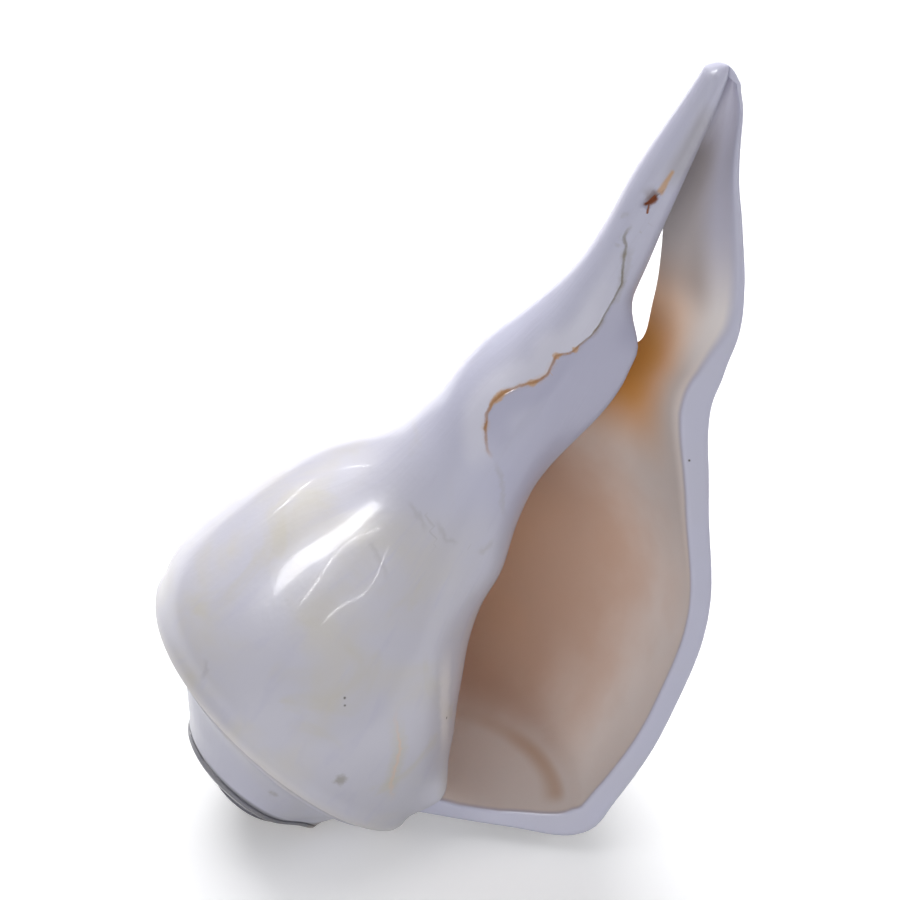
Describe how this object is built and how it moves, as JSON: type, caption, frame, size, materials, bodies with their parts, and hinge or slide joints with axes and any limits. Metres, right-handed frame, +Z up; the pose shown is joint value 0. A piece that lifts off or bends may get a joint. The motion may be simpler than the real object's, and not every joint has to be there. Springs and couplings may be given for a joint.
{
  "type": "conch shell",
  "caption": "Polished white left-handed conch shell with a low spire, a swollen shouldered whorl, a wide open mouth and a long open canal, standing on its shoulder and spire.",
  "frame": {"origin": "centre of the bounding box in plan, at the height of the surface the shell stands on", "axes": "+Z up, -Y towards the side that the mouth faces, +X to the right as seen from there"},
  "size_m": [0.1, 0.07, 0.1332],
  "materials": {
    "shell": "polished"
  },
  "bodies": {
    "root": {"shell": "shell"}
  },
  "joints": []
}
